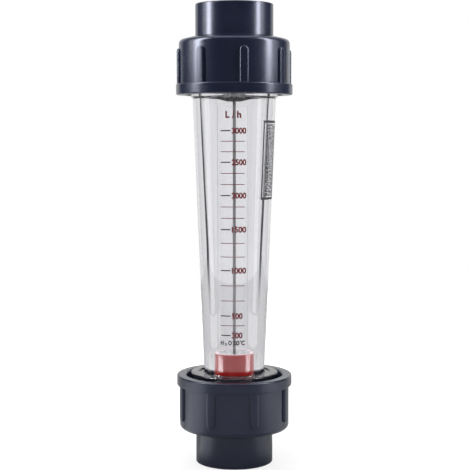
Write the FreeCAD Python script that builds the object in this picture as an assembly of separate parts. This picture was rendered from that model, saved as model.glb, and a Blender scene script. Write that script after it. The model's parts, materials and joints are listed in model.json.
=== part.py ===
import FreeCAD, Part
import math
import os

# In-line rotameter with a clear tapered tube and union ends for 40 mm pipe.
#
# Frame: millimetres. +Z is up and is the flow direction. The origin is the centre of the
# lower pipe socket's end face, on the axis. The scale faces -Y. An azimuth is an angle
# about Z, counted from the front (-Y) towards +X.
#
# Both union ends are the same parts. They are drawn once at the lower end, where z is the
# distance from the end face, and turned over about mid-height for the upper end.

Vector = FreeCAD.Vector
AXIS = Vector(0, 0, 1)
CENTRE = Vector(0, 0, 0)

# ---- pipe tails ----
pipe_d = 40.0               # outside diameter of the pipe that is cemented in
socket_clearance = 0.1      # radial, pipe in socket
socket_depth = 26.0
tail_wall = 4.9             # around the socket
waterway_r = 17.0           # bore behind the socket's stop
tail_exposed = 20.4         # from the end face to the union nut
collar_step = 4.3           # collar beyond the tail, radially
collar_thickness = 7.4
collar_edge = 0.4           # rounding of the collar's sealing edge
tail_edge = 0.5             # rounding of the outer end edge
lead_in = 1.0               # chamfer at the socket's mouth

# ---- O-rings (face seals, squeezed) ----
o_ring_cord = 2.4
groove_depth = 1.9
groove_side_gap = 0.1

# ---- union nuts ----
nut_lip = 6.2               # thickness of the lip that pulls on the collar
nut_length = 37.3
nut_wall = 4.3              # around the thread
lip_clearance = 0.3         # radial, lip round the tail
lip_edge = 0.3              # rounding of the lip's outer edge
shoulder_slope = 14.0       # degrees, outer face of the lip
shoulder_radius = 3.0
rim_height = 7.0
rim_step = 1.85             # rim beyond the nut's wall, radially
rim_edge = 0.9
mouth_chamfer = 0.8
rib_count = 8
rib_width = 5.7
rib_height = 1.5            # beyond the nut's wall
rib_edge = 1.35             # rounding of the rib's outer edge
rib_inset = 8.0             # from the nut's outer face to the rib's round end
lower_rib_azimuth = 20.6    # where the nuts stopped when they were tightened
upper_rib_azimuth = 9.8

# ---- union thread, drawn plain at its crest ----
thread_length = 17.0
thread_depth = 1.4
thread_clearance = 0.3      # radial, tube's crest in the nut
collar_clearance = 0.3      # radial, collar inside the nut's thread
thread_chamfer = 1.0

# ---- float on its rod ----
rod_r = 1.0
float_r = 12.9
float_rest_z = 44.2         # underside of the float at rest
float_length = 28.2
float_cap_length = 15.0     # red cap, from the float's top down
float_cap_wall = 2.7
float_nose_r = 7.5
float_edge = 0.5
float_run_gap = 0.06        # radial, weight on the rod
weight_gap = 0.05           # weight in the cap

# ---- metering tube ----
tube_length = 228.4
throat_clearance = 0.5      # radial, float in the bore at rest
bore_taper = 0.0502         # bore radius gained per millimetre of height
wall_low = 6.15             # wall at the lower shoulder
wall_high = 5.15            # wall at the upper shoulder
neck_step = 1.35            # neck beyond the cone's large end, radially
neck_relief = 1.4           # neck below the thread's root, radially
neck_proud = 1.6            # shoulder beyond the nut's mouth
neck_edge = 0.8
shoulder_recess = 0.8       # middle of the lower shoulder below its outer land
shoulder_land = 4.8         # width of that land
shoulder_edge = 0.35
cone_root_low = 1.2         # fillet between the lower shoulder and the cone
cone_root_high = 0.9

# ---- guide seats: spiders that hold the rod in the tube's ends ----
seat_ring_height = 6.0
seat_ledge_low = 5.6        # counterbore beyond the throat, radially
seat_ledge_high = 1.6       # counterbore beyond the bore's large end, radially
seat_ring_wall = 2.4
seat_gap = 0.1              # ring in its counterbore, each way
seat_arms = 4
seat_arm_width = 2.2
lower_hub_r = 6.5
lower_hub_drop = 2.6        # hub below the tube's end face
stop_plate_r = 9.6
stop_plate_edge = 1.1       # thickness at its edge; its underside is a cone that fits the disc
cage_post_r = 8.6           # outer face of the posts that hang the stop plate
cage_post_depth = 2.6
upper_arm_height = 10.0
float_headroom = 18.9       # from the highest reading to the upper stop
hub_hole_gap = 0.05         # radial, rod in a hub
hub_edge = 0.5

# ---- bumpers, washers and nuts on the rod ----
bumper_r = 4.5
bumper_thickness = 1.5
bumper_proud = 0.3
bumper_hole_gap = 0.4
stop_disc_r = 11.5          # the upper bumper is a wide dished disc, notched so that liquid passes
stop_disc_thickness = 1.2
stop_disc_flat_r = 4.5      # its flat middle, which meets the float
stop_disc_rise = 1.7        # its rim above that middle
stop_disc_notches = 16
stop_disc_notch_width = 1.8
stop_disc_notch_length = 3.6
washer_r = 2.6
washer_thickness = 0.5
rod_nut_flats = 4.0
rod_nut_height = 1.6
rod_nut_gap = 0.03
rod_end = 1.0               # rod beyond its nut

# ---- films stuck on the cone ----
film_thickness = 0.12
film_glue = 0.03
scale_top_z = 215.6         # height of the highest reading
scale_film_width = 19.8
scale_film_low = 76.4
scale_film_high = 231.4
scale_film_x = -1.2
label_azimuth = 63.3
label_width = 17.3
label_low = 172.0
label_high = 222.2

# ---- heights that follow from the sizes above ----
lip_inner_z = tail_exposed + nut_lip
tail_length = lip_inner_z + collar_thickness
total_height = tube_length + 2 * tail_length
nut_mouth_z = tail_exposed + nut_length
neck_low_z = nut_mouth_z + neck_proud
neck_high_z = total_height - neck_low_z
tube_top_z = total_height - tail_length
float_top_z = float_rest_z + float_length
upper_stop_z = scale_top_z + float_headroom
stop_plate_low_z = upper_stop_z + stop_disc_thickness
stop_disc_slope = stop_disc_rise / (stop_disc_r - stop_disc_flat_r)
stop_plate_edge_z = stop_plate_low_z + stop_disc_slope * (stop_plate_r - stop_disc_flat_r)
stop_plate_high_z = stop_plate_edge_z + stop_plate_edge
lower_ledge_z = tail_length + seat_ring_height
upper_ledge_z = tube_top_z - seat_ring_height

# ---- radii that follow ----
socket_r = pipe_d / 2 + socket_clearance
tail_r = socket_r + tail_wall
throat_r = float_r + throat_clearance


def bore_radius(z):
    """Inside radius of the tube: straight round the resting float, then the taper."""
    return throat_r + bore_taper * max(0.0, z - float_top_z)


cone_low_r = bore_radius(neck_low_z) + wall_low
cone_high_r = bore_radius(neck_high_z) + wall_high
cone_slope = (cone_high_r - cone_low_r) / (neck_high_z - neck_low_z)


def cone_radius(z):
    """Outside radius of the tube's cone."""
    return cone_low_r + cone_slope * (z - neck_low_z)


neck_r = cone_high_r + neck_step
# The thread clears both the tube's neck and the tail's collar.
thread_root_r = max(neck_r + neck_relief, tail_r + collar_step + collar_clearance)
thread_crest_r = thread_root_r + thread_depth
collar_r = thread_root_r - collar_clearance
nut_bore_r = thread_crest_r + thread_clearance
nut_body_r = nut_bore_r + nut_wall
rib_r = nut_body_r + rib_height
rim_r = nut_body_r + rim_step
lip_r = tail_r + lip_clearance
seat_low_r = throat_r + seat_ledge_low
seat_high_r = bore_radius(upper_ledge_z) + seat_ledge_high
# A squeezed ring keeps its section's area: two half rounds with a flat middle.
o_ring_flat = math.pi * (o_ring_cord ** 2 - groove_depth ** 2) / (4 * groove_depth)
o_ring_width = o_ring_flat + groove_depth
o_ring_mid_r = (max(seat_high_r, waterway_r) + collar_r) / 2


def section(corners):
    """Closed face in the XZ plane. A corner is (r, z) or (r, z, radius of its rounding)."""
    points = [Vector(corner[0], 0, corner[1]) for corner in corners]
    radii = [corner[2] if len(corner) > 2 else 0.0 for corner in corners]
    starts = []
    ends = []
    edges = []
    for i, point in enumerate(points):
        to_last = (points[i - 1] - point).normalize()
        to_next = (points[(i + 1) % len(points)] - point).normalize()
        half_angle = to_last.getAngle(to_next) / 2
        if radii[i] == 0.0:
            starts.append(point)
            ends.append(point)
            continue
        reach = radii[i] / math.tan(half_angle)
        bisector = (to_last + to_next).normalize()
        centre = point + bisector * (radii[i] / math.sin(half_angle))
        starts.append(point + to_last * reach)
        ends.append(point + to_next * reach)
        middle = centre - bisector * radii[i]
        edges.append(Part.Arc(starts[i], middle, ends[i]).toShape())
    for i in range(len(points)):
        following = starts[(i + 1) % len(points)]
        if ends[i].distanceToPoint(following) > 1e-7:
            edges.append(Part.LineSegment(ends[i], following).toShape())
    return Part.Face(Part.Wire(Part.__sortEdges__(edges)))


def turned(corners):
    """Solid of revolution about Z."""
    return section(corners).revolve(CENTRE, AXIS, 360)


def at_azimuth(shape, azimuth):
    """Turn a shape drawn at the front (-Y) to an azimuth."""
    placed = shape.copy()
    placed.rotate(CENTRE, AXIS, azimuth)
    return placed


def at_upper_end(shape, azimuth=0.0):
    """Turn a shape drawn at the lower end over about mid-height, front still to the front."""
    placed = shape.copy()
    placed.rotate(Vector(0, 0, total_height / 2), Vector(0, 1, 0), 180)
    return at_azimuth(placed, azimuth)


def ring(inner_r, outer_r, low_z, high_z):
    """Plain ring, such as a washer."""
    return turned([(inner_r, low_z), (outer_r, low_z), (outer_r, high_z), (inner_r, high_z)])


def tailpiece():
    """Pipe socket with the collar that the union nut pulls against the tube."""
    groove_half = o_ring_width / 2 + groove_side_gap
    groove_floor = tail_length - groove_depth
    return turned([
        (socket_r + lead_in, 0),
        (tail_r, 0, tail_edge),
        (tail_r, lip_inner_z),
        (collar_r, lip_inner_z),
        (collar_r, tail_length, collar_edge),
        (o_ring_mid_r + groove_half, tail_length),
        (o_ring_mid_r + groove_half, groove_floor),
        (o_ring_mid_r - groove_half, groove_floor),
        (o_ring_mid_r - groove_half, tail_length),
        (waterway_r, tail_length),
        (waterway_r, socket_depth),
        (socket_r, socket_depth),
        (socket_r, lead_in),
    ])


def o_ring():
    """Squeezed sealing ring in the collar's groove."""
    half_width = o_ring_width / 2
    round_r = groove_depth * 0.499
    return turned([
        (o_ring_mid_r - half_width, tail_length - groove_depth, round_r),
        (o_ring_mid_r + half_width, tail_length - groove_depth, round_r),
        (o_ring_mid_r + half_width, tail_length, round_r),
        (o_ring_mid_r - half_width, tail_length, round_r),
    ])


def nut_rib():
    """Grip rib at the front, with a half-round end and a rounded outer edge."""
    half = rib_width / 2
    round_z = tail_exposed + rib_inset + half
    into_rim_z = nut_mouth_z - rim_height + rim_edge
    root_y = -(nut_body_r - nut_wall / 2)
    low_left = Vector(-half, root_y, round_z)
    low_right = Vector(half, root_y, round_z)
    tip = Vector(0, root_y, round_z - half)
    high_left = Vector(-half, root_y, into_rim_z)
    high_right = Vector(half, root_y, into_rim_z)
    outline = Part.Wire([
        Part.LineSegment(high_left, low_left).toShape(),
        Part.Arc(low_left, tip, low_right).toShape(),
        Part.LineSegment(low_right, high_right).toShape(),
        Part.LineSegment(high_right, high_left).toShape(),
    ])
    bar = Part.Face(outline).extrude(Vector(0, -nut_wall - rib_height, 0))
    envelope = Part.makeCylinder(rib_r, nut_mouth_z)
    bar = bar.common(envelope)
    outer_edges = []
    for edge in bar.Edges:
        mid = edge.valueAt((edge.FirstParameter + edge.LastParameter) / 2)
        on_outside = math.hypot(mid.x, mid.y) > rib_r - 1e-4
        if on_outside and mid.z < into_rim_z - 1e-4:
            outer_edges.append(edge)
    return bar.makeFillet(rib_edge, outer_edges)


def union_nut(azimuth):
    """Ribbed nut: lip round the tail, plain threaded bore and a rim at the mouth."""
    shoulder_z = tail_exposed + (nut_body_r - lip_r) * math.tan(math.radians(shoulder_slope))
    rim_z = nut_mouth_z - rim_height
    body = turned([
        (lip_r, tail_exposed, lip_edge),
        (nut_body_r, shoulder_z, shoulder_radius),
        (nut_body_r, rim_z),
        (rim_r, rim_z, rim_edge),
        (rim_r, nut_mouth_z, rim_edge),
        (nut_bore_r + mouth_chamfer, nut_mouth_z),
        (nut_bore_r, nut_mouth_z - mouth_chamfer),
        (nut_bore_r, lip_inner_z),
        (lip_r, lip_inner_z),
    ])
    rib = nut_rib()
    spacing = 360.0 / rib_count
    ribs = [at_azimuth(rib, azimuth + i * spacing) for i in range(rib_count)]
    return body.fuse(ribs).removeSplitter()


def metering_tube():
    """Clear tapered tube: threaded ends, necks with shoulders, cone and tapered bore."""
    low_thread_z = tail_length + thread_length
    high_thread_z = tube_top_z - thread_length
    foot_z = neck_low_z - shoulder_recess
    return turned([
        (seat_low_r, tail_length),
        (thread_crest_r, tail_length, thread_chamfer),
        (thread_crest_r, low_thread_z, thread_chamfer),
        (neck_r, low_thread_z),
        (neck_r, neck_low_z, neck_edge),
        (neck_r - shoulder_land, neck_low_z, shoulder_edge),
        (neck_r - shoulder_land, foot_z, shoulder_edge),
        (cone_radius(foot_z), foot_z, cone_root_low),
        (cone_high_r, neck_high_z, cone_root_high),
        (neck_r, neck_high_z, neck_edge / 2),
        (neck_r, high_thread_z),
        (thread_crest_r, high_thread_z, thread_chamfer),
        (thread_crest_r, tube_top_z, thread_chamfer),
        (seat_high_r, tube_top_z),
        (seat_high_r, upper_ledge_z),
        (bore_radius(upper_ledge_z), upper_ledge_z),
        (throat_r, float_top_z),
        (throat_r, lower_ledge_z),
        (seat_low_r, lower_ledge_z),
    ])


def seat_ring(counterbore_r, low_z, high_z):
    """Outer ring of a guide seat."""
    outer_r = counterbore_r - seat_gap
    return ring(outer_r - seat_ring_wall, outer_r, low_z, high_z)


def seat_spokes(hub_r, reach_r, low_z, high_z):
    """Straight arms from a hub to its ring."""
    inner = hub_r - hub_edge
    spoke = Part.makeBox(reach_r - inner, seat_arm_width, high_z - low_z,
                         Vector(inner, -seat_arm_width / 2, low_z))
    spacing = 360.0 / seat_arms
    return [at_azimuth(spoke, spacing / 2 + i * spacing) for i in range(seat_arms)]


def lower_guide_seat():
    """Spider in the tube's lower end: its hub holds the rod and carries the float at rest."""
    high_z = lower_ledge_z
    low_z = tail_length + seat_gap
    hub_low_z = tail_length - lower_hub_drop
    hub_high_z = float_rest_z - bumper_proud
    recess_z = float_rest_z - bumper_thickness
    hole_r = rod_r + hub_hole_gap
    hub = turned([
        (hole_r, hub_low_z),
        (lower_hub_r, hub_low_z, hub_edge),
        (lower_hub_r, hub_high_z, hub_edge),
        (bumper_r + seat_gap, hub_high_z),
        (bumper_r + seat_gap, recess_z),
        (hole_r, recess_z),
    ])
    reach_r = seat_low_r - seat_gap - seat_ring_wall / 2
    spokes = seat_spokes(lower_hub_r, reach_r, low_z, high_z)
    return hub.fuse([seat_ring(seat_low_r, low_z, high_z)] + spokes).removeSplitter()


def upper_guide_seat():
    """Spider in the tube's upper end: a stop plate hung from the ring's arms by four posts."""
    low_z = upper_ledge_z
    high_z = tube_top_z - seat_gap
    arm_low_z = high_z - upper_arm_height
    plate = turned([
        (rod_r + hub_hole_gap, stop_plate_low_z),
        (stop_disc_flat_r, stop_plate_low_z),
        (stop_plate_r, stop_plate_edge_z),
        (stop_plate_r, stop_plate_high_z, hub_edge),
        (rod_r + hub_hole_gap, stop_plate_high_z),
    ])
    post_inner_r = cage_post_r - cage_post_depth
    middle_z = (stop_plate_edge_z + stop_plate_high_z) / 2
    posts = seat_spokes(post_inner_r, cage_post_r, middle_z, high_z)
    arms = seat_spokes(cage_post_r, seat_high_r - seat_gap - seat_ring_wall / 2, low_z, high_z)
    webs = seat_spokes(cage_post_r, bore_radius(arm_low_z) - 3 * seat_gap, arm_low_z, high_z)
    pieces = [seat_ring(seat_high_r, low_z, high_z)] + posts + arms + webs
    return plate.fuse(pieces).removeSplitter()


def rod_stack_heights():
    """Height of each nut's and washer's seat on the rod, and the rod's two ends."""
    lower_face = tail_length - lower_hub_drop
    upper_face = stop_plate_high_z
    stack = washer_thickness + rod_nut_height
    return lower_face, upper_face, lower_face - stack - rod_end, upper_face + stack + rod_end


def guide_rod():
    """Steel rod that the float runs on."""
    low_z, high_z = rod_stack_heights()[2:]
    bevel = rod_r / 4
    return turned([
        (0, low_z),
        (rod_r - bevel, low_z),
        (rod_r, low_z + bevel),
        (rod_r, high_z - bevel),
        (rod_r - bevel, high_z),
        (0, high_z),
    ])


def rod_washer(seat_z, direction):
    """Washer on a hub's face; direction is +1 when it lies above the face."""
    far_z = seat_z + direction * washer_thickness
    return ring(rod_r + hub_hole_gap, washer_r, min(seat_z, far_z), max(seat_z, far_z))


def rod_nut(seat_z, direction):
    """Small hexagon nut beyond the washer, with chamfered corners."""
    near_z = seat_z + direction * washer_thickness
    low_z = min(near_z, near_z + direction * rod_nut_height)
    corner_r = rod_nut_flats / math.sqrt(3)
    points = [Vector(corner_r * math.cos(math.radians(60 * i)),
                     corner_r * math.sin(math.radians(60 * i)), low_z) for i in range(7)]
    hexagon = Part.Face(Part.makePolygon(points)).extrude(Vector(0, 0, rod_nut_height))
    chamfer = corner_r - rod_nut_flats / 2
    envelope = turned([
        (rod_r + rod_nut_gap, low_z),
        (rod_nut_flats / 2, low_z),
        (corner_r, low_z + chamfer),
        (corner_r, low_z + rod_nut_height - chamfer),
        (rod_nut_flats / 2, low_z + rod_nut_height),
        (rod_r + rod_nut_gap, low_z + rod_nut_height),
    ])
    return hexagon.common(envelope)


def bumper(low_z):
    """Rubber ring that stands a little proud of its hub."""
    return ring(rod_r + bumper_hole_gap, bumper_r, low_z, low_z + bumper_thickness)


def stop_disc():
    """Dished rubber disc under the stop plate, with radial notches round its rim."""
    hole_r = rod_r + bumper_hole_gap
    rim_z = upper_stop_z + stop_disc_rise
    disc = turned([
        (hole_r, upper_stop_z),
        (stop_disc_flat_r, upper_stop_z),
        (stop_disc_r, rim_z),
        (stop_disc_r, rim_z + stop_disc_thickness),
        (stop_disc_flat_r, stop_plate_low_z),
        (hole_r, stop_plate_low_z),
    ])
    cutter = Part.makeBox(2 * stop_disc_notch_length, stop_disc_notch_width,
                          stop_disc_rise + 3 * stop_disc_thickness,
                          Vector(stop_disc_r - stop_disc_notch_length, -stop_disc_notch_width / 2,
                                 upper_stop_z - stop_disc_thickness))
    spacing = 360.0 / stop_disc_notches
    return disc.cut([at_azimuth(cutter, i * spacing) for i in range(stop_disc_notches)])


def float_cap():
    """Coloured cap moulded round the float's weight; its top edge is the reading edge."""
    inside_r = float_r - float_cap_wall
    skirt_z = float_top_z - float_cap_length
    return turned([
        (inside_r, skirt_z),
        (float_r, skirt_z),
        (float_r, float_top_z, float_edge),
        (inside_r, float_top_z),
    ])


def float_weight():
    """Steel weight inside the cap, bored to run on the rod; below the cap it ends in a blunt cone."""
    hole_r = rod_r + float_run_gap
    plug_r = float_r - float_cap_wall - weight_gap
    skirt_z = float_top_z - float_cap_length
    return turned([
        (hole_r, float_rest_z),
        (float_nose_r, float_rest_z, float_edge),
        (float_r - float_edge, skirt_z, float_edge),
        (plug_r, skirt_z),
        (plug_r, float_top_z - weight_gap, weight_gap),
        (hole_r, float_top_z - weight_gap),
    ])


def film(width, low_z, high_z, centre_x=0.0):
    """Thin film on the front of the cone, of constant width."""
    inner = film_glue
    outer = film_glue + film_thickness
    sleeve = turned([
        (cone_radius(low_z) + inner, low_z),
        (cone_radius(low_z) + outer, low_z),
        (cone_radius(high_z) + outer, high_z),
        (cone_radius(high_z) + inner, high_z),
    ])
    window = Part.makeBox(width, 2 * cone_high_r, high_z - low_z,
                          Vector(centre_x - width / 2, -2 * cone_high_r, low_z))
    return sleeve.common(window)


def build():
    """Every piece by node name."""
    lower_face, upper_face = rod_stack_heights()[:2]
    nodes = {
        "lower_tailpiece": tailpiece(),
        "lower_o_ring": o_ring(),
        "lower_union_nut": union_nut(lower_rib_azimuth),
        "metering_tube": metering_tube(),
        "scale_film": film(scale_film_width, scale_film_low, scale_film_high, scale_film_x),
        "side_label": at_azimuth(film(label_width, label_low, label_high), label_azimuth),
        "guide_rod": guide_rod(),
        "lower_guide_seat": lower_guide_seat(),
        "upper_guide_seat": upper_guide_seat(),
        "lower_bumper": bumper(float_rest_z - bumper_thickness),
        "upper_bumper": stop_disc(),
        "lower_rod_washer": rod_washer(lower_face, -1),
        "upper_rod_washer": rod_washer(upper_face, 1),
        "lower_rod_nut": rod_nut(lower_face, -1),
        "upper_rod_nut": rod_nut(upper_face, 1),
        "float_cap": float_cap(),
        "float_weight": float_weight(),
        "upper_tailpiece": at_upper_end(tailpiece()),
        "upper_o_ring": at_upper_end(o_ring()),
        "upper_union_nut": at_upper_end(union_nut(0.0), upper_rib_azimuth),
    }
    return nodes


os.makedirs("parts", exist_ok=True)
for node, shape in build().items():
    solids = shape.Solids
    if len(solids) != 1 or not shape.isValid():
        raise ValueError(node + " is not one valid solid")
    solids[0].exportStep("parts/" + node + ".step")
    box = solids[0].BoundBox
    print("%-18s volume %9.1f mm3  z %7.2f to %7.2f  r %6.2f"
          % (node, solids[0].Volume, box.ZMin, box.ZMax, box.XMax))
print("height", round(total_height, 2), "nut rim radius", round(rim_r, 2),
      "float travel", round(upper_stop_z - float_top_z, 2))
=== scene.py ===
# %% [markdown]
# # A clear-tube rotameter
#
# A rotameter measures flow. Liquid rises through a tapered clear tube and lifts a float on a steel
# rod; the float's top edge is read against a printed scale. A ribbed union nut at each end holds a
# pipe socket against the tube.
#
# The solid parts come from the CAD frame. This lesson adds what the solids leave out: polished clear
# plastic that really bends light, screw threads, the printed scale, and a small studio to see it in.

# %% Load the CAD frame
import json
import math
import bpy
import numpy as np
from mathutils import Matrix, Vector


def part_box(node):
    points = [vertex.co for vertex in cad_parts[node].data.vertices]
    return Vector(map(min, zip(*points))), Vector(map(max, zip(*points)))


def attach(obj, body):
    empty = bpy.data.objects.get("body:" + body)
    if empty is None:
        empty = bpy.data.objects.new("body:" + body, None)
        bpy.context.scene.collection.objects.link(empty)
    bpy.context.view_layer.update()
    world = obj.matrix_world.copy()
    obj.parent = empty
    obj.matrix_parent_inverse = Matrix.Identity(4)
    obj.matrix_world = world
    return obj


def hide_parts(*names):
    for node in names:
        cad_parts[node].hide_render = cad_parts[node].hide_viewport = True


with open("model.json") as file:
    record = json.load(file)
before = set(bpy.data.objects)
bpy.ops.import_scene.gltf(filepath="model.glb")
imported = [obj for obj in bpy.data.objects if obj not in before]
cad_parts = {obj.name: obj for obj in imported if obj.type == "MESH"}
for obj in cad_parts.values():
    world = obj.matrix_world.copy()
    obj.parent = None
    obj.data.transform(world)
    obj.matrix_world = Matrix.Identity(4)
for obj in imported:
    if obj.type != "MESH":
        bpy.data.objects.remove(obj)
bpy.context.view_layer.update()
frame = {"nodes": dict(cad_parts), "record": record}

# %% [markdown]
# ## Sizes that several pieces share
#
# Heights come from the frame's boxes, so they follow the CAD model. The radii of the tube's wall are
# not the corners of any box, so they are named here, in metres.

# %% Heights and radii of the tube
MM = 0.001
tube_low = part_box("metering_tube")[0][2]
tube_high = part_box("metering_tube")[1][2]
nut_mouth_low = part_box("lower_union_nut")[1][2]
nut_mouth_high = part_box("upper_union_nut")[0][2]
float_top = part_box("float_cap")[1][2]
neck_proud = 1.6 * MM
shoulder_low = nut_mouth_low + neck_proud
shoulder_high = nut_mouth_high - neck_proud
wall_low = 6.15 * MM
wall_high = 5.15 * MM
neck_step = 1.35 * MM
throat_r = 13.4 * MM
bore_taper = 0.0502


def bore_radius(z):
    """Inside radius: constant up to the resting float's top, then growing in proportion to height."""
    return throat_r + bore_taper * np.maximum(0.0, z - float_top)


cone_low_r = float(bore_radius(shoulder_low)) + wall_low
cone_high_r = float(bore_radius(shoulder_high)) + wall_high
neck_r = cone_high_r + neck_step


def cone_radius(z):
    """Outside radius of the tube: a straight line from the lower shoulder to the upper one."""
    share = (z - shoulder_low) / (shoulder_high - shoulder_low)
    return cone_low_r + (cone_high_r - cone_low_r) * share


print("cone radius in mm at mid-height", round(1000 * float(cone_radius((tube_low + tube_high) / 2)), 2))

# %% [markdown]
# ## The camera
#
# A long lens from a little below the upper nut, so the upper nut is seen from below and the lower one
# from above. A camera looks along its own -Z, so 90 degrees about X makes it level and a little less
# tilts it down.

# %% Camera
lens_mm = 93.61
camera_distance = 0.7906
camera_height = 0.2105
camera_side = 0.00045
tilt_down_deg = 4.49
camera_data = bpy.data.cameras.new("camera")
camera_data.sensor_width = 36.0
camera_data.lens = lens_mm
camera = bpy.data.objects.new("camera", camera_data)
bpy.context.scene.collection.objects.link(camera)
camera.location = (camera_side, -camera_distance, camera_height)
camera.rotation_euler = (math.radians(90.0 - tilt_down_deg), 0.0, 0.0)
bpy.context.scene.camera = camera
bpy.context.scene.view_settings.view_transform = "Standard"
print("camera is", camera_distance, "m in front, at a height of", camera_height, "m")

# %% [markdown]
# ## Shader maths as Python
#
# A material is a graph of small nodes. Typing each node and link hides the formula, so one class wraps
# a socket and overloads the operators: `1 - mask * 0.5` then adds the Math nodes by itself. Colours are
# mixed and vectors are worked with their own nodes, because a Math node would turn them grey.

# %% Socket wrapper


class Value:
    """A socket that carries a number, with Python's operators standing for Math nodes."""

    def __init__(self, shader, socket):
        self.shader = shader
        self.socket = socket

    def maths(self, operation, *others):
        """The Math node's operation on this value and any others, in that order."""
        return self.shader.node("ShaderNodeMath", {"operation": operation}, [self, *others])

    def __add__(self, other):
        return self.maths("ADD", other)

    __radd__ = __add__

    def __sub__(self, other):
        return self.maths("SUBTRACT", other)

    def __rsub__(self, other):
        return self.shader.node("ShaderNodeMath", {"operation": "SUBTRACT"}, [other, self])

    def __mul__(self, other):
        return self.maths("MULTIPLY", other)

    __rmul__ = __mul__

    def __truediv__(self, other):
        return self.maths("DIVIDE", other)

    def __rtruediv__(self, other):
        return self.shader.node("ShaderNodeMath", {"operation": "DIVIDE"}, [other, self])

    def step(self, edge, width):
        """0 below edge and 1 above it, with a smooth ramp of the given width."""
        settings = {"interpolation_type": "SMOOTHSTEP"}
        inputs = {"Value": self, "From Min": edge - width / 2, "From Max": edge + width / 2}
        return self.shader.node("ShaderNodeMapRange", settings, inputs)


class Shader:
    """Builds one node tree from Python expressions."""

    def __init__(self, tree):
        self.tree = tree
        tree.nodes.clear()

    def node(self, kind, settings=None, inputs=None, output=0):
        """Add a node: settings are its own properties, inputs its sockets by name or in order."""
        made = self.tree.nodes.new(kind)
        for key, value in (settings or {}).items():
            setattr(made, key, value)
        pairs = inputs.items() if isinstance(inputs, dict) else enumerate(inputs or [])
        for key, value in pairs:
            if isinstance(value, Value):
                self.tree.links.new(value.socket, made.inputs[key])
            else:
                made.inputs[key].default_value = value
        return Value(self, made.outputs[output] if made.outputs else None)

    def mix(self, factor, first, second):
        """Colour between first and second."""
        settings = {"data_type": "RGBA"}
        return self.node("ShaderNodeMix", settings, {0: factor, 6: first, 7: second}, output=2)

    def place(self, scale=(1.0, 1.0, 1.0)):
        """Object coordinates, stretched."""
        coordinate = self.node("ShaderNodeTexCoord", output=3)
        return self.node("ShaderNodeMapping", {}, {"Vector": coordinate, "Scale": scale})

    def axes(self, vector):
        """The x, y and z of a vector as three values."""
        made = self.tree.nodes.new("ShaderNodeSeparateXYZ")
        self.tree.links.new(vector.socket, made.inputs[0])
        return [Value(self, out) for out in made.outputs]

    def noise(self, vector, scale, detail=3.0):
        """Cloudy noise from about 0 to 1; scale is the number of clouds in a metre."""
        inputs = {"Vector": vector, "Scale": scale, "Detail": detail}
        return self.node("ShaderNodeTexNoise", {}, inputs)

    def bump(self, height, distance):
        """A normal tilted as if the surface rose by height times distance, in metres."""
        return self.node("ShaderNodeBump", {}, {"Height": height, "Distance": distance})

    def light_path(self, name):
        """What is known of the ray that reached this surface."""
        made = self.tree.nodes.new("ShaderNodeLightPath")
        return Value(self, made.outputs[name])

    def finish(self, surface, kind="ShaderNodeOutputMaterial"):
        """Send the surface to the tree's output."""
        self.node(kind, {}, {"Surface": surface})


def new_material(name):
    """An empty material and its Shader."""
    material = bpy.data.materials.new(name)
    material.use_nodes = True
    return material, Shader(material.node_tree)


def colour(red, green, blue):
    """A colour with its alpha, as a socket wants it."""
    return (red, green, blue, 1.0)


print("shader maths ready")

# %% [markdown]
# ## The studio
#
# Clear plastic shows nothing of its own: it shows the room, bent. So the room matters more than the
# plastic. A white sweep goes round the meter. Narrow dark flags stand in it at both sides, and the wall
# of the tube bends them into the dark line that runs down each edge of the bore. They stand behind and
# in front alike, so the tube looks much the same from the back.
#
# Glossy dark plastic wants another room: black in front, so that the nuts stay dark, with only the
# lamps shining in them. A studio does that by moving cards between two exposures. Here the world asks
# what kind of ray has reached it: a ray that came through clear plastic sees the first room, every
# other ray sees the second, and what the camera sees directly is plain white.

# %% World
world = bpy.data.worlds.new("studio")
bpy.context.scene.world = world
world.use_nodes = True
room = Shader(world.node_tree)
ray_x, ray_y, ray_z = room.axes(room.node("ShaderNodeTexCoord", output=0))
# 1 straight behind the meter and -1 in front; the small number guards the division overhead.
behind = ray_y / (ray_x * ray_x + ray_y * ray_y + 1e-6).maths("SQRT")
either_way = behind.maths("ABSOLUTE")
flag_outer = 65.0
flag_inner = 51.5
soft_edge = 0.05


def facing(degrees):
    """The cosine that a direction this far round from the sweep's middle has."""
    return math.cos(math.radians(degrees))


def bands(across, levels, softness):
    """Level by direction: each (degrees, level) holds from that angle inwards to the next one.

    The sum starts at the first level. At each angle after it a smooth step adds the change."""
    total = levels[0][1]
    for (_, outer), (degrees, inner) in zip(levels, levels[1:]):
        total = total + across.step(facing(degrees), softness) * (inner - outer)
    return total


# Degrees are counted from straight behind the meter, where the sweep is a little brighter.
sweep = bands(either_way, [(90.0, 0.85), (flag_outer, 0.04), (flag_inner, 1.0)], soft_edge)
sweep_light = 0.85 + behind * 0.09
seen_through = sweep * sweep_light
mirrored = bands(behind, [(180.0, 0.05), (125.0, 0.14), (61.0, 0.04), (43.0, 0.95)], soft_edge)
ceiling_light = 0.45
ceiling = ray_z.step(0.75, 0.5) * ceiling_light
through = room.light_path("Is Transmission Ray")
level = mirrored + ceiling + through * (seen_through - mirrored)
seen = room.light_path("Is Camera Ray")
lit = room.node("ShaderNodeBackground", {}, {"Color": colour(1.0, 1.0, 1.0), "Strength": level})
white = room.node("ShaderNodeBackground", {}, {"Color": colour(1.0, 1.0, 1.0), "Strength": 1.0})
room.finish(room.node("ShaderNodeMixShader", {}, [seen, lit, white]), "ShaderNodeOutputWorld")
print("world ready")

# %% [markdown]
# ## The floor
#
# The meter stands on a large pale disc. A disc has no corner that could show in the plastic, and it is
# put in as a stage, so that it isn't a part of the meter.

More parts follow.
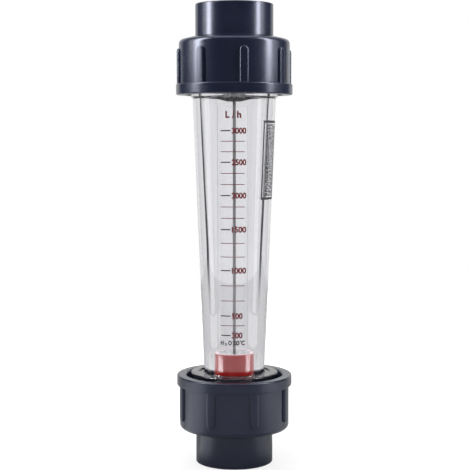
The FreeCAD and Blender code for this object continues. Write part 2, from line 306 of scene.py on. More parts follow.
# %% Floor disc
floor_radius = 0.9
floor_steps = 96
floor_angle = np.linspace(0.0, 2 * math.pi, floor_steps, endpoint=False)
floor_points = np.stack([floor_radius * np.cos(floor_angle), floor_radius * np.sin(floor_angle),
                         np.zeros(floor_steps)], axis=1)
floor_mesh = bpy.data.meshes.new("floor")
floor_mesh.from_pydata(floor_points.tolist(), [], [list(range(floor_steps))])
floor = bpy.data.objects.new("floor", floor_mesh)
bpy.context.scene.collection.objects.link(floor)
print("floor radius", floor_radius, "m")

# %% [markdown]
# Lamps light the floor like any surface, so it keeps the meter's soft shadow, and for the camera a
# little light of its own brings the open floor up to white. Close to the meter the floor is darker,
# because the lower nut and its tail mirror that ring of floor and would turn pale with it.
#
# Seen from above, the lower nut mirrors the floor beside it and not the lamps. So the floor has a soft
# bright strip at each side, the left one stronger, which only mirrored rays see. It gives the nut and
# the tail the sheen down their sides.

# %% Floor for plain and mirrored rays
floor_material, shader = new_material("floor_white")
floor.data.materials.append(floor_material)
floor_grain = shader.noise(shader.place(), 60.0)
floor_x, floor_y, _ = shader.axes(shader.place())
from_middle = (floor_x * floor_x + floor_y * floor_y).maths("SQRT")
forward = 0.0 - floor_y / (from_middle + 1e-4)
leftward = 0.0 - floor_x / (from_middle + 1e-4)
near_floor = shader.mix(floor_grain, colour(0.31, 0.31, 0.31), colour(0.34, 0.34, 0.34))
open_floor = shader.mix(floor_grain, colour(0.54, 0.54, 0.54), colour(0.57, 0.57, 0.57))
open_from, open_blend = 0.14, 0.2
matt_colour = shader.mix(from_middle.step(open_from, open_blend), near_floor, open_floor)
matt = shader.node("ShaderNodeBsdfDiffuse", {}, {"Color": matt_colour})
strip_front, strip_back = 60.0, 108.0
strip_near, strip_far = 0.05, 0.33
strip_light = 1.35
strip_turn = forward.step(facing(strip_back), 0.3) - forward.step(facing(strip_front), 0.3)
strip_reach = from_middle.step(strip_near, 0.04) - from_middle.step(strip_far, 0.06)
strip_side = 1.05 + leftward * 0.35
strip = strip_turn * strip_reach * strip_side * strip_light
far_from, far_blend = 0.35, 0.6
far = from_middle.step(far_from, far_blend)
glow_colour = shader.mix(far, colour(0.66, 0.66, 0.66), colour(0.86, 0.86, 0.86))
glow_level = shader.light_path("Is Camera Ray") + shader.light_path("Is Glossy Ray") * strip
glow = shader.node("ShaderNodeEmission", {}, {"Color": glow_colour, "Strength": glow_level})
seen_plain = shader.node("ShaderNodeAddShader", {}, [matt, glow])
print("side strips from", strip_near, "to", strip_far, "m out")

# %% [markdown]
# Rays that came through clear plastic see another floor, as they see another room: evenly bright, with
# the feet of the dark flags fading out on it.
#
# Two bright cards lie on that floor, in front at each side. The polished float mirrors them as two
# upright streaks. The tube's own surfaces would mirror them too, so a card counts only for a ray that
# was mirrored and has crossed exactly four surfaces of plastic: into the wall and out of it on the way
# to the float, and again on the way back.

# %% Floor for bent rays
flag_turn = (floor_y / (from_middle + 1e-4)).maths("ABSOLUTE")
flag_foot = bands(flag_turn, [(90.0, 0.0), (flag_outer, 1.0), (flag_inner, 0.0)], soft_edge)
foot_from, foot_blend = 0.66, 0.5
flag_reach = from_middle.step(foot_from, foot_blend)
bright = shader.mix(far, colour(0.70, 0.70, 0.70), colour(0.76, 0.76, 0.76))
bent_floor = shader.mix(flag_foot * flag_reach, bright, colour(0.04, 0.04, 0.04))
card_front, card_back = 59.0, 86.0
card_near, card_far = 0.34, 0.62
card_light = 14.0
card_turn = forward.step(facing(card_back), 0.05) - forward.step(facing(card_front), 0.05)
card_reach = from_middle.step(card_near, 0.04) - from_middle.step(card_far, 0.06)
surfaces = shader.light_path("Transmission Depth")
four_surfaces = surfaces.step(3.5, 0.5) - surfaces.step(4.5, 0.5)
was_mirrored = shader.light_path("Glossy Depth").step(0.5, 0.5)
card = card_turn * card_reach * four_surfaces * was_mirrored
bent_colour = shader.mix(card, bent_floor, colour(card_light, card_light, card_light))
seen_bent = shader.node("ShaderNodeEmission", {}, {"Color": bent_colour, "Strength": 1.0})
bent = shader.light_path("Is Transmission Ray")
shader.finish(shader.node("ShaderNodeMixShader", {}, [bent, seen_plain, seen_bent]))
print("cards from", card_near, "to", card_far, "m out")

# %% [markdown]
# ## The lamps
#
# A stack of softboxes stands at each side and makes the long highlights on the dark plastic. A
# highlight sits where the surface normal points half way between the camera and the lamp, so a lamp 75
# degrees round from the camera shows at about 37 degrees round the nut.
#
# The upper nut has a narrow bright strip with a wide weak one behind it, which softens the highlight's
# edges. Beside the tube the stack is weak, because the tube mirrors it as well. The lamps are hidden
# from bent rays: clear plastic would show each of them as a hard white patch. The table gives how bright
# a lamp looks, and its watts follow as that radiance times pi times its area.

# %% Softboxes


def softbox(name, azimuth_deg, distance, height, width, tall, watts):
    """Area lamp at (d sin a, -d cos a, height), facing the meter's axis.

    The azimuth a is counted from the front, -Y, towards +X, and d is the distance."""
    data = bpy.data.lights.new(name, "AREA")
    data.shape = "RECTANGLE"
    data.size = width
    data.size_y = tall
    data.energy = watts
    lamp = bpy.data.objects.new(name, data)
    bpy.context.scene.collection.objects.link(lamp)
    azimuth = math.radians(azimuth_deg)
    lamp.location = (distance * math.sin(azimuth), -distance * math.cos(azimuth), height)
    lamp.rotation_euler = (math.pi / 2, 0.0, azimuth)
    lamp.visible_camera = False
    lamp.visible_transmission = False
    return lamp


# part, lower edge, upper edge, radiance, then (azimuth, width) on the left and on the right
stack = [("tall", 0.27, 0.67, 23.0, (-77.5, 0.075), (72.0, 0.060)),
         ("halo", 0.27, 0.67, 3.0, (-84.0, 0.200), (80.0, 0.170)),
         ("middle", 0.036, 0.27, 2.2, (-78.5, 0.090), (71.5, 0.080)),
         ("low", 0.004, 0.034, 2.1, (-72.0, 0.240), (70.0, 0.230))]
stack_distance = 0.32
for part, low_z, high_z, radiance, left, right in stack:
    for side, (azimuth_deg, width) in (("left", left), ("right", right)):
        tall = high_z - low_z
        watts = radiance * math.pi * width * tall
        softbox(part + "_" + side, azimuth_deg, stack_distance, (low_z + high_z) / 2, width, tall, watts)
print("softboxes at the sides", 2 * len(stack))

# %% [markdown]
# Two large weak lamps fill in. One hangs overhead. The other stands in front and lights the print and
# the float; it is hidden from mirrored rays, so it puts no grey veil on the dark plastic.

# %% Fill lamps
overhead = softbox("softbox_top", azimuth_deg=0.0, distance=0.0, height=1.5, width=1.2, tall=1.2,
                   watts=4.0)
overhead.rotation_euler = (0.0, 0.0, 0.0)
fill = softbox("fill_front", azimuth_deg=0.0, distance=1.3, height=0.45, width=1.0, tall=1.0,
               watts=9.0)
fill.visible_glossy = False

# %% [markdown]
# ## Surfaces from arrays
#
# Turned and moulded pieces are a closed outline carried round the axis. The outline is a list of
# corners, some with a rounding, and `outline` turns it into many points. A modifier could round the
# edges as well, but in clear plastic every uneven face shows, and here the rows of faces fall exactly
# where the form needs them.

# %% Outline with rounded corners
arc_steps = 8
longest_row = 6 * MM
shortest_run = 0.6 * MM      # a shorter straight run isn't divided
row_at_rounding = 0.15 * MM


def outline(corners):
    """Closed outline as an array of (r, z).

    A corner is (r, z) or (r, z, rounding). A rounding is an arc that touches both straight runs; its
    centre lies on the bisector, rounding / sin(half the angle) from the corner. Straight runs are
    divided, and get a point close to each end so that the smooth shading of a rounding doesn't creep
    along them."""
    points = [np.array(corner[:2], float) for corner in corners]
    arcs = []
    for i, point in enumerate(points):
        rounding = corners[i][2] if len(corners[i]) > 2 else 0.0
        if rounding == 0.0:
            arcs.append(point[None, :])
            continue
        back = points[i - 1] - point
        ahead = points[(i + 1) % len(points)] - point
        back /= np.linalg.norm(back)
        ahead /= np.linalg.norm(ahead)
        half = math.acos(float(np.clip(back @ ahead, -1.0, 1.0))) / 2
        bisector = (back + ahead) / np.linalg.norm(back + ahead)
        centre = point + bisector * rounding / math.sin(half)
        start = point + back * rounding / math.tan(half) - centre
        end = point + ahead * rounding / math.tan(half) - centre
        bend = math.pi - 2 * half
        share = np.linspace(0.0, 1.0, arc_steps + 1)[:, None]
        arcs.append(centre + (np.sin((1 - share) * bend) * start + np.sin(share * bend) * end)
                    / math.sin(bend))
    rows = []
    for i, arc in enumerate(arcs):
        rows.append(arc)
        start = arc[-1]
        end = arcs[(i + 1) % len(arcs)][0]
        length = float(np.linalg.norm(end - start))
        if length > shortest_run:
            edge = min(row_at_rounding / length, 0.2)
            inner = np.linspace(edge, 1 - edge, max(2, int(length / longest_row) + 2))[:, None]
            rows.append(start + (end - start) * inner)
    return np.concatenate(rows)


print("points on a rounding", arc_steps + 1)

# %% [markdown]
# Carried round the axis, the outline makes a grid of points, with one row for each of its points. A
# relief goes into the radius at the same time, so a thread needs no cutting afterwards.

# %% Grid of a turned piece


def turn(profile, steps, relief):
    """Grid of points: each (r, z) of the profile carried round Z, at (r cos a, r sin a, z).

    relief(r, z, a) is added to the radius first."""
    angle = np.linspace(0.0, 2 * math.pi, steps, endpoint=False)
    height = np.repeat(profile[:, 1:2], steps, axis=1)
    plain = np.repeat(profile[:, 0:1], steps, axis=1)
    radius = plain + relief(plain, height, angle[None, :])
    return np.stack([radius * np.cos(angle), radius * np.sin(angle), height], axis=2)


print("turning ready")

# %% [markdown]
# The grid closes on itself both ways: round the axis, and from the outline's end to its start. Four
# neighbouring points make a face, so there is no seam and no pole. Steep folds stay hard edges and the
# rest is shaded smoothly.

# %% Mesh from a grid
sharp_deg = 32.0


def piece_from_grid(name, grid, body, material):
    """Closed mesh from a grid that joins up both ways, facing outwards, riding on a body.

    Six times the volume is the sum of a . (b x c) over the triangles; if it is negative the faces
    point inwards and are turned round."""
    rows, columns = grid.shape[:2]
    index = np.arange(rows * columns).reshape(rows, columns)
    right = np.roll(index, -1, axis=1)
    below = np.roll(index, -1, axis=0)
    across = np.roll(right, -1, axis=0)
    quads = np.stack([index, right, across, below], axis=2).reshape(-1, 4)
    vertices = grid.reshape(-1, 3)
    a, b, c, d = (vertices[quads[:, k]] for k in range(4))
    volume = np.einsum("ij,ij->", a, np.cross(b, c)) + np.einsum("ij,ij->", a, np.cross(c, d))
    if volume < 0:
        quads = quads[:, ::-1]
    mesh = bpy.data.meshes.new(name)
    mesh.from_pydata(vertices.tolist(), [], quads.tolist())
    mesh.polygons.foreach_set("use_smooth", np.ones(len(quads), bool))
    mesh.set_sharp_from_angle(angle=math.radians(sharp_deg))
    mesh.update()
    piece = bpy.data.objects.new(name, mesh)
    bpy.context.scene.collection.objects.link(piece)
    piece.data.materials.append(material)
    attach(piece, body)
    print(name, "triangles", 2 * len(quads), "volume in cm3", round(abs(volume) / 6 * 1e6, 2))
    return piece


print("folds over", sharp_deg, "degrees stay sharp")

# %% [markdown]
# ## Clear moulded plastic
#
# The tube is polished styrene-acrylonitrile: it bends light more than water and has the faint waviness
# of a moulding. A see-through surface without bending would be quicker to render, but it would lose the
# dark lines of the bore. So the shader truly bends light, with one change: lamps may shine straight
# through, so that the float and the rod inside are lit. The plastic's grey-violet cast is put in its
# volume, not on its surface, so the thick flanges come out darker than the thin wall by themselves.

# %% Clear plastic material
clear_material, shader = new_material("clear_plastic")
wave = shader.noise(shader.place((1.0, 1.0, 0.12)), 260.0, 2.0)
speck = shader.noise(shader.place(), 2500.0, 1.0)
clear_tint = shader.mix(wave, colour(0.95, 0.95, 0.96), colour(0.98, 0.98, 0.99))
clear_glass = shader.node("ShaderNodeBsdfPrincipled", {}, {
    "Base Color": clear_tint, "Roughness": 0.0, "IOR": 1.57, "Transmission Weight": 1.0,
    "Normal": shader.bump(wave + speck * 0.05, 0.00002)})
clear_pass = shader.node("ShaderNodeBsdfTransparent", {}, {"Color": colour(0.96, 0.965, 0.975)})
lamp_ray = shader.light_path("Is Shadow Ray")
clear_body = shader.node("ShaderNodeVolumeAbsorption", {}, {
    "Color": colour(0.0, 0.0, 0.14), "Density": 11.0})
clear_surface = shader.node("ShaderNodeMixShader", {}, [lamp_ray, clear_glass, clear_pass])
shader.node("ShaderNodeOutputMaterial", {}, {"Surface": clear_surface, "Volume": clear_body})
print("clear plastic ready")

# %% [markdown]
# ## The metering tube
#
# The tube replaces its CAD solid so that its surface is truly smooth, because a facet that can't be
# seen on an opaque part shows at once in glass. The thread is cut out of the radius: its depth depends
# on z / pitch - angle / 360, which makes a right-hand helix that closes on itself.

# %% Screw thread
thread_pitch = 3.0 * MM
thread_crest_r = 31.0 * MM
thread_root_r = 29.6 * MM
thread_length = 17.0 * MM
thread_run_out = 1.2 * MM
tooth_half = 0.36            # half of a tooth at its foot, as a share of the pitch
flank = 0.16                 # width of a sloping flank, as a share of the pitch


def tooth(height, angle):
    """1 on a thread's crest and 0 in its root, with sloping flanks, at each height and angle."""
    turn_share = np.mod(height / thread_pitch - angle / (2 * math.pi), 1.0)
    return np.clip((tooth_half - np.abs(turn_share - 0.5)) / flank, 0.0, 1.0)


def fade(height, low, high, over):
    """1 between low and high, running out to 0 over a short length at both ends."""
    return np.clip(np.minimum(height - low, high - height) / over, 0.0, 1.0)


def thread_cut(radius, height, angle):
    """Minus the thread's depth between its teeth, on the two threaded ends only."""
    lower = fade(height, tube_low, tube_low + thread_length, thread_run_out)
    upper = fade(height, tube_high - thread_length, tube_high, thread_run_out)
    on_crest = np.abs(radius - thread_crest_r) < 1e-6
    depth = (thread_crest_r - thread_root_r) * (1 - tooth(height, angle))
    return -depth * np.maximum(lower, upper) * on_crest


print("turns of thread at each end", round(thread_length / thread_pitch, 1))

# %% [markdown]
# The outline goes up the outside and down the bore. Outside come the thread, a neck that stands a little
# proud of the nut, a shoulder with a shallow recess, and the cone. Inside come the counterbores for the
# two guide seats, the straight throat round the resting float, and the taper that makes it a meter.

# %% Outline of the tube
shoulder_recess = 0.8 * MM
shoulder_land = 4.8 * MM
shoulder_edge = 0.35 * MM
neck_edge_low = 0.8 * MM
neck_edge_high = 0.4 * MM
cone_root_low = 1.2 * MM
cone_root_high = 0.9 * MM
seat_ring_height = 6.0 * MM
seat_low_r = 19.0 * MM
seat_ledge_high = 1.6 * MM
foot_z = shoulder_low - shoulder_recess
ledge_high = tube_high - seat_ring_height
bore_at_ledge = float(bore_radius(ledge_high))
seat_high_r = bore_at_ledge + seat_ledge_high
tube_corners = [
    (seat_low_r, tube_low),
    (thread_crest_r, tube_low),
    (thread_crest_r, tube_low + thread_length),
    (neck_r, tube_low + thread_length),
    (neck_r, shoulder_low, neck_edge_low),
    (neck_r - shoulder_land, shoulder_low, shoulder_edge),
    (neck_r - shoulder_land, foot_z, shoulder_edge),
    (float(cone_radius(foot_z)), foot_z, cone_root_low),
    (cone_high_r, shoulder_high, cone_root_high),
    (neck_r, shoulder_high, neck_edge_high),
    (neck_r, tube_high - thread_length),
    (thread_crest_r, tube_high - thread_length),
    (thread_crest_r, tube_high),
    (seat_high_r, tube_high),
    (seat_high_r, ledge_high),
    (bore_at_ledge, ledge_high),
    (throat_r, float_top),
    (throat_r, tube_low + seat_ring_height),
    (seat_low_r, tube_low + seat_ring_height),
]
print("corners of the outline", len(tube_corners), "bore at the upper seat in mm",
      round(1000 * bore_at_ledge, 2))

# %% [markdown]
# The thread needs rows much closer together than the rest of the tube, so the straight runs at its crest
# are divided once more. Then the outline is carried round the axis and the thread goes into the grid.

# %% Tube
thread_row = 0.22 * MM
tube_steps = 192


def finer(profile, radius, spacing):
    """Profile with its straight runs at one radius divided into short rows, for the thread."""
    following = np.roll(profile, -1, axis=0)
    rows = []
    for start, end in zip(profile, following):
        rows.append(start[None, :])
        length = float(np.linalg.norm(end - start))
        both = abs(start[0] - radius) < 1e-7 and abs(end[0] - radius) < 1e-7
        if both and length > spacing:
            share = np.linspace(0.0, 1.0, int(length / spacing) + 1, endpoint=False)[1:, None]
            rows.append(start + (end - start) * share)
    return np.concatenate(rows)


tube_profile = finer(outline(tube_corners), thread_crest_r, thread_row)
tube_grid = turn(tube_profile, tube_steps, thread_cut)
tube = piece_from_grid("clear_tube", tube_grid, "tube", clear_material)
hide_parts("metering_tube")

# %% [markdown]
# ## Dark moulded PVC
#
# The nuts and tails are injection-moulded rigid PVC, almost black with a blue cast. Moulded plastic is
# never perfectly even: the gloss varies where the melt cooled against the mould, and the surface has a
# very fine ripple that breaks up the edge of a highlight. The blue cast is in the gloss as well, so what
# the plastic mirrors head-on is tinted, and what it mirrors at a grazing angle stays white.

# %% PVC material
pvc_material, shader = new_material("dark_pvc")
cloud = shader.noise(shader.place(), 45.0, 4.0)
ripple = shader.noise(shader.place((1.0, 1.0, 0.35)), 900.0, 2.0)
pvc_colour = shader.mix(cloud, colour(0.0058, 0.0082, 0.0190), colour(0.0080, 0.0108, 0.0232))
pvc = shader.node("ShaderNodeBsdfPrincipled", {}, {
    "Base Color": pvc_colour, "Roughness": 0.20 + cloud * 0.10, "IOR": 1.53,
    "Specular Tint": colour(0.78, 0.82, 1.0),
    "Normal": shader.bump(ripple, 0.000015)})
shader.finish(pvc)
print("dark plastic ready")

# %% [markdown]
# ## Rubber
#
# The O-rings, the lower bumper and the disc that stops the float are black rubber. Rubber is dull, and
# it is never quite clean, so a fine noise lightens it here and there like dust.

# %% Rubber
rubber_material, shader = new_material("black_rubber")
dust = shader.noise(shader.place(), 700.0, 3.0)
shader.finish(shader.node("ShaderNodeBsdfPrincipled", {}, {
    "Base Color": shader.mix(dust, colour(0.012, 0.012, 0.013), colour(0.03, 0.03, 0.03)),
    "Roughness": 0.55 + dust * 0.2, "Specular IOR Level": 0.15, "Normal": shader.bump(dust, 0.00004)}))
print("rubber ready")

# %% [markdown]
# ## Steel
#
# The rod's washers and nuts and the float's weight are turned, so fine rings run round the axis. A
# stretched reflection could suggest them, but a noise that changes fast along Z and slowly across it
# draws the rings themselves. The rod is drawn, not turned, and its skin is darker.

# %% Steel


def steel(name, dark, light, roughness):
    """Steel turned on a lathe: fine rings round the axis, in colour, gloss and height."""
    material, shader = new_material(name)
    lathe = shader.noise(shader.place((0.02, 0.02, 1.0)), 9000.0, 2.0)
    shader.finish(shader.node("ShaderNodeBsdfPrincipled", {}, {
        "Base Color": shader.mix(lathe, colour(*dark), colour(*light)), "Metallic": 1.0,
        "Roughness": roughness + lathe * 0.12, "Normal": shader.bump(lathe, 0.000006)}))
    return material


steel_material = steel("turned_steel", (0.60, 0.60, 0.61), (0.70, 0.70, 0.71), 0.20)
rod_material = steel("drawn_steel", (0.105, 0.100, 0.102), (0.155, 0.148, 0.150), 0.25)
print("steels ready")

# %% [markdown]
# ## Moulded plastics inside the tube
#
# The float wears a red ring with a polished wall. Its top face is painted pale: a painted highlight for
# the light that its top edge catches from above, so the material changes just below the ring's top edge.
# A second object could be laid on for that, but a step on the height does it without an extra edge.

# %% Red plastic
red_material, shader = new_material("red_plastic")
swirl = shader.noise(shader.place((1.0, 1.0, 0.5)), 120.0, 3.0)
moulded_red = shader.mix(swirl, colour(0.28, 0.008, 0.007), colour(0.33, 0.012, 0.010))
height = shader.axes(shader.place())[2]
# Painted highlight: the top face and its edge are made pale, for the light they catch from above.
painted_top_highlight = height.step(float_top - 0.15 * MM, 0.2 * MM)
shader.finish(shader.node("ShaderNodeBsdfPrincipled", {}, {
    # The pale colour is the painted highlight on the top face.
    "Base Color": shader.mix(painted_top_highlight, moulded_red, colour(0.60, 0.46, 0.47)),
    "Roughness": 0.08 + swirl * 0.04, "IOR": 1.5, "Normal": shader.bump(swirl, 0.00001)}))
print("red plastic ready")

# %% [markdown]
# The lower guide seat is moulded in a dark plastic and the upper one in a pale, uncoloured one. Both are
# duller than the ring, with a fine grain in colour, gloss and height.

# %% Seat plastics
seat_material, shader = new_material("seat_plastic")
grain = shader.noise(shader.place(), 600.0, 3.0)
shader.finish(shader.node("ShaderNodeBsdfPrincipled", {}, {
    "Base Color": shader.mix(grain, colour(0.016, 0.012, 0.050), colour(0.026, 0.020, 0.075)),
    "Roughness": 0.4 + grain * 0.15, "Normal": shader.bump(grain, 0.00003)}))
pale_material, shader = new_material("pale_plastic")
milk = shader.noise(shader.place(), 400.0, 3.0)
shader.finish(shader.node("ShaderNodeBsdfPrincipled", {}, {
    "Base Color": shader.mix(milk, colour(0.62, 0.62, 0.66), colour(0.70, 0.70, 0.73)),
    "Roughness": 0.35 + milk * 0.15, "Normal": shader.bump(milk, 0.00003)}))
print("seat plastics ready")

# %% [markdown]
# The CAD record names a finish for every piece, so a table from that name to a material dresses them
# all. The rod is the one exception, because the record files it with the other steel.

# %% Give the CAD nodes their materials


def give(node_name, material):
    """The node's only material becomes this one."""
    node_mesh = frame["nodes"][node_name].data
    node_mesh.materials.clear()
    node_mesh.materials.append(material)


finish_of_slot = {
    "union_pvc": pvc_material,
    "seal_rubber": rubber_material,
    "steel": steel_material,
    "seat_plastic": seat_material,
    "pale_plastic": pale_material,
    "float_red": red_material,
}
for entry in frame["record"]["subparts"]:
    if entry["material_slot"] in finish_of_slot:
        give(entry["node"], finish_of_slot[entry["material_slot"]])
give("guide_rod", rod_material)
dressed = [e["node"] for e in frame["record"]["subparts"] if e["material_slot"] in finish_of_slot]
print("dressed", len(dressed), "nodes")

# %% [markdown]
# ## The clear film and its print
#
# The scale is printed on a strip of clear film. Film this thin bends nothing, so it is drawn as a
# surface that is mostly open, a touch greyer than the plastic, with a fine dark line of painted shade
# at its cut edges.

# %% Film material
film_material, shader = new_material("clear_film")
haze = shader.noise(shader.place((1.0, 1.0, 0.2)), 180.0, 3.0)
film = shader.node("ShaderNodeBsdfPrincipled", {}, {
    "Base Color": shader.mix(haze, colour(0.60, 0.60, 0.62), colour(0.70, 0.70, 0.72)),
    "Roughness": 0.25 + haze * 0.1, "Alpha": 0.05 + haze * 0.05})
shader.finish(film)
for node_name in ("scale_film", "side_label"):
    give(node_name, film_material)
print("film ready")

# %% [markdown]
# The marks are flat shapes wrapped on the cone. A flat place (x, z) goes to azimuth x / radius, so that
# a mark keeps its real width, and to a radius just above the film. The print could be painted on the
# film by a material instead, but real shapes keep their sharp edges from any distance.

# %% Wrapping flat shapes on the cone
film_glue = 0.03 * MM
film_thickness = 0.12 * MM
film_top = film_glue + film_thickness
ink_lift = 0.01 * MM
ink_thickness = 0.02 * MM


def wrap(flat, azimuth_deg):
    """Points on the cone for an array of flat (x, z), centred on an azimuth from the front."""
    radius = cone_radius(flat[:, 1]) + film_top + ink_lift
    azimuth = math.radians(azimuth_deg) + flat[:, 0] / radius
    return np.stack([radius * np.sin(azimuth), -radius * np.cos(azimuth), flat[:, 1]], axis=1)


def bars(rectangles, steps=12):
    """Vertices and faces of flat bars. A rectangle is (x low, x high, z low, z high).

    Each is divided into steps along x, so that it can follow the curve of the tube."""
    boxes = np.array(rectangles, float)
    share = np.linspace(0.0, 1.0, steps + 1)
    along = boxes[:, 0:1] + (boxes[:, 1:2] - boxes[:, 0:1]) * share
    low = np.stack([along, np.repeat(boxes[:, 2:3], steps + 1, axis=1)], axis=2)
    high = np.stack([along, np.repeat(boxes[:, 3:4], steps + 1, axis=1)], axis=2)
    vertices = np.stack([low, high], axis=2).reshape(-1, 2)
    first = np.arange(len(boxes))[:, None] * 2 * (steps + 1) + 2 * np.arange(steps)[None, :]
    faces = np.stack([first, first + 2, first + 3, first + 1], axis=2).reshape(-1, 4)
    return vertices, faces.tolist()


print("film's outer face is", round(1000 * film_top, 3), "mm off the tube")

# %% [markdown]
# Numbers and letters start as a text curve, which is the quickest way to clean outlines. The faces made
# from it are then stretched to the exact height and width of the print, because a typeface leaves its
# own space round each letter.

# %% Lettering
stroke_gain = 0.04
letter_steps = 6


def lettering(text, height, width, x, z):
    """Vertices and faces of a line of text made exactly this high and wide, from x, centred on z.

    Each point is (point - lowest) / (highest - lowest) * size + place."""
    curve = bpy.data.curves.new("letters", "FONT")
    curve.body = text
    curve.offset = stroke_gain
    curve.resolution_u = letter_steps
    holder = bpy.data.objects.new("letters", curve)
    bpy.context.scene.collection.objects.link(holder)
    bpy.context.view_layer.update()
    mesh = bpy.data.meshes.new_from_object(holder)
    flat = np.empty(len(mesh.vertices) * 3)
    mesh.vertices.foreach_get("co", flat)
    flat = flat.reshape(-1, 3)[:, :2]
    faces = [list(polygon.vertices) for polygon in mesh.polygons]
    bpy.data.objects.remove(holder)
    bpy.data.curves.remove(curve)
    bpy.data.meshes.remove(mesh)
    flat = (flat - flat.min(axis=0)) / (flat.max(axis=0) - flat.min(axis=0))
    return flat * (width, height) + (x, z - height / 2), faces


print("lettering ready")

# %% [markdown]
# Flat shapes that belong together are joined into one piece. A coat of ink stands a little off the film,
# so a Solidify modifier gives the piece a thickness outwards. The print moves with the tube.

# %% One printed piece


def printed(name, shapes, azimuth_deg, material):
    """One printed piece from several flat shapes, with the thickness of a coat of ink."""
    vertices = []
    faces = []
    for flat, polygons in shapes:
        faces += [[corner + len(vertices) for corner in polygon] for polygon in polygons]
        vertices += flat.tolist()
    mesh = bpy.data.meshes.new(name)
    mesh.from_pydata(wrap(np.array(vertices), azimuth_deg).tolist(), [], faces)
    mesh.update()
    piece = bpy.data.objects.new(name, mesh)
    bpy.context.scene.collection.objects.link(piece)
    thicken = piece.modifiers.new("ink", "SOLIDIFY")
    thicken.thickness = ink_thickness
    thicken.offset = 1.0
    piece.data.materials.append(material)
    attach(piece, "tube")
    print(name, "faces", len(faces))
    return piece


print("ink is", round(1000 * ink_thickness, 3), "mm thick")

# %% [markdown]
# The print is in four inks: red for the numbers and the thin marks, a near-black red for the main marks
# and the note, black for the label, and a grey that paints a line of shade along each of the film's cut
# edges.

# %% Inks


def ink(name, dark, light, roughness):
    """Printed ink: not quite even, as if screened."""
    material, shader = new_material(name)
    screen = shader.noise(shader.place(), 1500.0, 2.0)
    shader.finish(shader.node("ShaderNodeBsdfPrincipled", {}, {
        "Base Color": shader.mix(screen, colour(*dark), colour(*light)),
        "Roughness": roughness + screen * 0.1}))
    return material


red_ink = ink("red_ink", (0.090, 0.002, 0.004), (0.135, 0.003, 0.007), 0.45)
note_ink = ink("note_ink", (0.014, 0.003, 0.004), (0.024, 0.005, 0.007), 0.45)
black_ink = ink("black_ink", (0.012, 0.012, 0.014), (0.03, 0.03, 0.035), 0.45)
# Grey ink that paints the dark line of shade along the film's cut edges.
edge_shade_ink = ink("film_edge_painted_shade", (0.10, 0.10, 0.11), (0.20, 0.20, 0.21), 0.4)
print("inks ready")

# %% [markdown]
# ## The scale
#
# The float rises until the ring between it and the bore passes the flow. The ring's area grows nearly
# in proportion to the flow, so the marks stand closer together towards the top. A maker runs water
# through the meter, notes the float's height at a few flows, and divides evenly between them. No such
# run stands behind this scale. Its numbered marks have a table of heights, with even steps between
# them, and the ring areas that the cell prints show how nearly those heights follow the flow.

# %% Height of a reading
numbered_flows = [300, 500, 1000, 1500, 2000, 2500, 3000]
numbered_rise = np.array([13.5, 26.0, 55.1, 81.2, 102.7, 123.6, 143.3]) * MM
float_r = (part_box("float_cap")[1][0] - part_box("float_cap")[0][0]) / 2


def mark_height(flow):
    """Height of the mark for a flow in litres an hour, in a straight line between numbered flows."""
    return float_top + float(np.interp(flow, numbered_flows, numbered_rise))


for flow in numbered_flows:
    ring_area = math.pi * (bore_radius(mark_height(flow)) ** 2 - float_r ** 2)
    print(flow, "L/h at", round(1000 * mark_height(flow), 1), "mm, ring of", round(ring_area * 1e6), "mm2")

# %% [markdown]
# A numbered flow has a short heavy mark that stops before its number. Between two of them, thirds of the
# step have a long thin mark, and one more thin mark stands at 400.

# %% Scale marks
scale_azimuth = 0.0
mark_left = -8.7 * MM
numbered_right = -2.45 * MM
plain_right = 6.55 * MM
main_thickness = 0.7 * MM
plain_thickness = 0.42 * MM
plain_flows = [500 * whole + 500 * third / 3 for whole in range(1, 6) for third in (1, 2)] + [400]


def mark_bars(flows, right, thickness):
    """One bar for each flow, from the scale's left edge."""
    return bars([(mark_left, right, mark_height(flow) - thickness / 2, mark_height(flow) + thickness / 2)
                 for flow in flows])


main_bars = mark_bars(numbered_flows, numbered_right, main_thickness)
printed("main_marks", [main_bars], scale_azimuth, note_ink)
plain_bars = mark_bars(plain_flows, plain_right, plain_thickness)
printed("scale_marks", [plain_bars], scale_azimuth, red_ink)

# %% [markdown]
# Each number stands right of its heavy mark and is centred on the mark's height. Its width grows with
# the count of its digits.

# %% Numbers
number_left = -1.65 * MM
number_height = 3.9 * MM
digit_width = 2.32 * MM
numbers = [lettering(str(flow), number_height, digit_width * len(str(flow)), number_left,
                     mark_height(flow)) for flow in numbered_flows]
printed("scale_numbers", numbers, scale_azimuth, red_ink)

# %% [markdown]
# The unit stands above the highest mark. A small note below the lowest one says which liquid the scale
# holds for, and at what temperature. Each letter is given its height, width and place in millimetres,
# because the letters of a scale are spaced by hand and not by a typeface.

# %% Unit and note


def letters(table, middle):
    """Flat letters from rows of text, height, width, left edge and rise above the middle, in mm."""
    return [lettering(text, tall * MM, wide * MM, left * MM, middle + rise * MM)
            for text, tall, wide, left, rise in table]


unit_letters = [("L", 4.4, 2.6, -5.6, 0.0),
                ("/", 4.8, 1.7, -1.45, 0.0),
                ("h", 4.4, 2.7, 1.7, 0.0)]
note_letters = [("H", 3.0, 2.0, -8.9, 0.0),
                ("2", 1.7, 1.5, -6.2, -0.8),
                ("O", 3.0, 2.3, -3.9, 0.0),
                ("20", 3.0, 4.4, -1.1, 0.0),
                ("\u00b0", 1.0, 0.9, 3.6, 1.2),
                ("C", 3.0, 2.3, 4.5, 0.0)]
unit_rise = 153.4 * MM
note_rise = 8.6 * MM
printed("scale_units", letters(unit_letters, float_top + unit_rise), scale_azimuth, red_ink)
printed("scale_note", letters(note_letters, float_top + note_rise), scale_azimuth, note_ink)
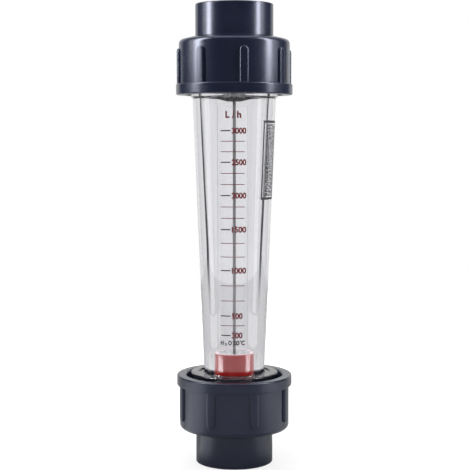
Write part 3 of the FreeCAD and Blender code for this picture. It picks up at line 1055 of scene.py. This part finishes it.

# %% [markdown]
# A strip of film is easiest to see at its cut edges, which show as two hair lines. They are drawn as two
# thin bars of grey ink: painted shade along each cut edge.

# %% Film edges
edge_gap = 0.3 * MM
film_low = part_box("scale_film")[0][2] + edge_gap
film_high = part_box("scale_film")[1][2] - edge_gap
film_left = -10.9 * MM
film_right = 8.6 * MM
hair = 0.16 * MM
# Two thin grey bars: painted shade along the film's cut edges.
edge_shade_lines = [(film_left, film_left + hair, film_low, film_high),
              (film_right - hair / 2, film_right, film_low, film_high)]
printed("painted_edge_shade", [bars(edge_shade_lines, 2)], scale_azimuth, edge_shade_ink)

# %% [markdown]
# ## The side label
#
# The label at the side is printed on clear film as well. It has a heavy bar at each end, and a bar and
# a fine line down each side. All of them are flat bars, so they are drawn as the scale's marks are.

# %% Label frame
label_azimuth = 63.3
label_half = 8.5 * MM
label_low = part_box("side_label")[0][2]
label_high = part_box("side_label")[1][2]
end_bar = 1.5 * MM
side_bar = 1.2 * MM
inner_line = 0.4 * MM
left_line = -label_half + 3.4 * MM
right_line = label_half - 2.2 * MM
label_bars = [(-label_half, label_half, label_low, label_low + end_bar),
              (-label_half, label_half, label_high - end_bar, label_high),
              (-label_half, -label_half + side_bar, label_low, label_high),
              (label_half - side_bar, label_half, label_low, label_high),
              (left_line, left_line + inner_line, label_low, label_high),
              (right_line, right_line + inner_line, label_low, label_high)]
printed("label_frame", [bars(label_bars)], label_azimuth, black_ink)

# %% [markdown]
# Rows of small print run along the label. Nobody can read them from where the scale is read, so they
# are drawn as plain dashes of chance length, from a fixed seed so that every run draws the same ones.

# %% Label rows
dice = np.random.default_rng(7)
row_half = 0.62 * MM
row_count = 6
first_row = -label_half + 4.6 * MM
last_row = label_half - 3.2 * MM
row_low = label_low + end_bar + 0.8 * MM
last_start = label_high - end_bar - 1.2 * MM
row_high = label_high - end_bar - 0.6 * MM
dashes = []
for row in np.linspace(first_row, last_row, row_count):
    z = row_low
    while z < last_start:
        length = dice.uniform(0.8, 2.6) * MM
        dashes.append((row - row_half, row + row_half, z, min(z + length, row_high)))
        z += length + dice.uniform(0.3, 0.6) * MM
printed("label_rows", [bars(dashes, 2)], label_azimuth, black_ink)
print("dashes", len(dashes))
